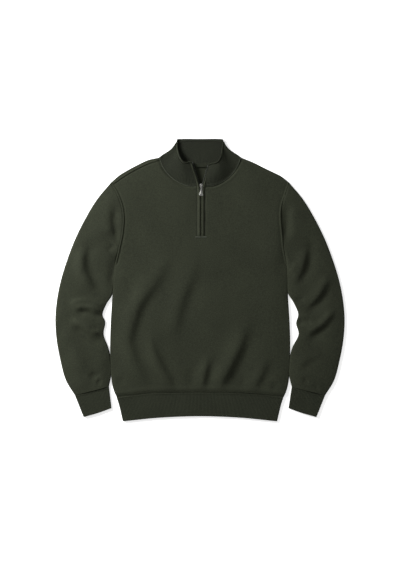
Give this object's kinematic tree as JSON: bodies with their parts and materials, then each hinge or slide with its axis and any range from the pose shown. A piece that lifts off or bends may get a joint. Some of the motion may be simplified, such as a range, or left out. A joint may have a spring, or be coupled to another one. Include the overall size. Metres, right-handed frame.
{
  "type": "quarter zip sweater laid flat",
  "caption": "Fine-knit pullover laid flat, front up, with a ribbed stand collar, a short front zip with a metal pull, set-in sleeves and ribbed cuffs and hem.",
  "frame": {"origin": "centre of the bounding box on the surface that the garment lies on", "axes": "+X to the right as seen from the front, +Y from the hem to the collar, +Z out of the surface, towards the viewer"},
  "size_m": [0.7944, 0.7745, 0.0155],
  "materials": {
    "jersey": "fine-gauge plain knit in very dark grey-green, matt with a slight soft bloom",
    "rib": "fine rib knit in the same yarn, slightly darker in its channels",
    "tape": "woven zip tape, near black green",
    "metal": "nickel-coloured cast zip slider and pull, satin with bright edges"
  },
  "bodies": {
    "garment": {"back_panel": "jersey", "front_panel": "jersey", "sleeve_left": "jersey", "sleeve_right": "jersey", "cuff_left": "rib", "cuff_right": "rib", "hem_rib": "rib", "collar": "rib", "zip_edge_left": "rib", "zip_edge_right": "rib", "zip_stop": "rib", "zip_tape_left": "tape", "zip_tape_right": "tape", "zip_slider": "metal", "zip_bridge": "metal"},
    "pull": {"zip_pull": "metal"}
  },
  "joints": [
    {"name": "pull_swing", "type": "hinge", "parent": "garment", "child": "pull", "pos_m": [0.0033, 0.2556, 0.0116], "axis": [-1, 0, 0], "range_deg": [0, 165]}
  ]
}
